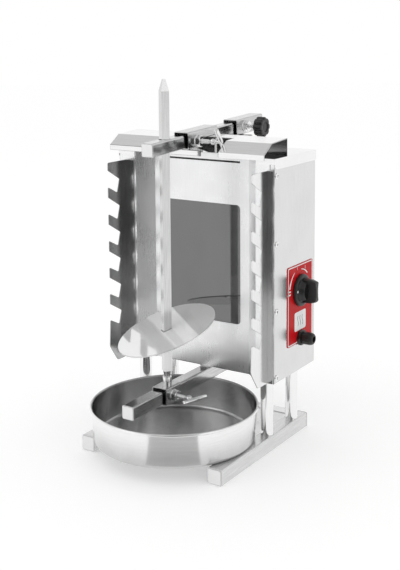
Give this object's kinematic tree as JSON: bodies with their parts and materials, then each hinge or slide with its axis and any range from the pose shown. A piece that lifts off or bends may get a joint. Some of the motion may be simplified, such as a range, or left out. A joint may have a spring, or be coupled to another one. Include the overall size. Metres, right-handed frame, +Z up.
{
  "type": "electric skewer grill",
  "caption": "Table-top upright electric grill: turning square skewer with a meat disc before a glass-fronted heater, notched side racks, round drip pan on tube rails.",
  "frame": {"origin": "on the floor, under the middle of the whole object's box", "axes": "+X to the right as seen from the front, +Y to the rear, +Z up"},
  "size_m": [0.3897, 0.4685, 0.71],
  "materials": {
    "rails": "satin square tube",
    "caps": "polished",
    "columns": "polished",
    "body_sheet": "satin sheet",
    "front_sheet": "mirror-polished sheet",
    "cover_sheet": "fine satin sheet",
    "hood_sheet": "bright annealed sheet",
    "rack_sheet": "bright sheet",
    "arm_steel": "brushed along its length",
    "bolts": "zinc-plated",
    "skewer_steel": "polished",
    "disc_steel": "mirror-polished",
    "pan_steel": "spun, fine rings",
    "glass": "dark heat-proof glass",
    "heater_tube": "ceramic-coated tube",
    "board": "pressed fibre board",
    "red_plate": "gloss red enamel",
    "black_plastic": "moulded, slight gloss",
    "pale_plastic": "moulded"
  },
  "bodies": {
    "base": {"left_rail": "rails", "right_rail": "rails", "front_left_cap": "caps", "front_right_cap": "caps", "rear_left_cap": "caps", "rear_right_cap": "caps", "cross_tube": "rails", "front_left_column": "columns", "front_right_column": "columns", "rear_left_column": "columns", "rear_right_column": "columns", "base_plate": "body_sheet", "front_panel": "front_sheet", "window_glass": "glass", "left_retainer": "body_sheet", "right_retainer": "body_sheet", "heater_tray": "body_sheet", "heating_tubes": "heater_tube", "insulation_board": "board", "left_side_panel": "body_sheet", "right_side_panel": "body_sheet", "rear_cover": "body_sheet", "top_cover": "cover_sheet", "left_screws": "bolts", "right_screws": "bolts", "left_hood": "hood_sheet", "right_hood": "hood_sheet", "left_rack": "rack_sheet", "right_rack": "rack_sheet", "front_saddle": "arm_steel", "rear_saddle": "arm_steel", "front_sleeve": "arm_steel", "rear_sleeve": "arm_steel", "front_nut": "bolts", "rear_nut": "bolts", "lower_arm": "arm_steel", "lower_arm_cap": "caps", "lower_arm_spacers": "arm_steel", "control_plate": "red_plate", "energy_regulator": "pale_plastic", "cable_gland": "black_plastic", "gland_nut": "black_plastic", "terminal_block": "pale_plastic"},
    "carriage": {"carriage_sleeve": "arm_steel", "carriage_nut": "bolts", "skewer_cup": "bolts"},
    "lower_t_screw_body": {"lower_t_screw": "bolts"},
    "skewer_body": {"skewer": "skewer_steel"},
    "meat_disc_body": {"meat_disc": "disc_steel"},
    "upper_arm_body": {"upper_arm": "arm_steel", "upper_arm_cap": "caps"},
    "upper_t_screw_body": {"upper_t_screw": "bolts"},
    "star_knob_body": {"star_knob": "black_plastic"},
    "pan_body": {"drip_pan": "pan_steel"},
    "control_knob_body": {"control_knob": "black_plastic"}
  },
  "joints": [
    {"name": "carriage_slide", "type": "slide", "parent": "base", "child": "carriage", "axis": [0, -1, 0], "range_m": [-0.012, 0.06]},
    {"name": "upper_arm_slide", "type": "slide", "parent": "base", "child": "upper_arm_body", "axis": [0, -0.9988, -0.0499], "range_m": [-0.0125, 0.0605]},
    {"name": "skewer_spin", "type": "hinge", "parent": "carriage", "child": "skewer_body", "pos_m": [-0.01785, -0.09579, 0.1439], "axis": [0, 0, 1], "continuous": true},
    {"name": "disc_slide", "type": "slide", "parent": "skewer_body", "child": "meat_disc_body", "axis": [0, 0, 1], "range_m": [-0.045, 0.27]},
    {"name": "upper_t_screw_turn", "type": "hinge", "parent": "base", "child": "upper_t_screw_body", "pos_m": [0.05215, -0.01273, 0.59064], "axis": [1, 0, 0], "range_deg": [0, 360]},
    {"name": "star_knob_turn", "type": "hinge", "parent": "base", "child": "star_knob_body", "pos_m": [0.03715, 0.16258, 0.60331], "axis": [1, 0, 0], "range_deg": [0, 360]},
    {"name": "lower_t_screw_turn", "type": "hinge", "parent": "carriage", "child": "lower_t_screw_body", "pos_m": [0.04715, -0.10129, 0.124], "axis": [1, 0, 0], "range_deg": [0, 360]},
    {"name": "pan_slide", "type": "slide", "parent": "base", "child": "pan_body", "axis": [0, -1, 0], "range_m": [0, 0.25]},
    {"name": "control_knob_turn", "type": "hinge", "parent": "base", "child": "control_knob_body", "pos_m": [0.17215, 0.10071, 0.301], "axis": [-1, 0, 0], "range_deg": [0, 270]}
  ],
  "couplings": [
    {"joint": "upper_arm_slide", "follows": "carriage_slide", "ratio": 1.0012}
  ]
}
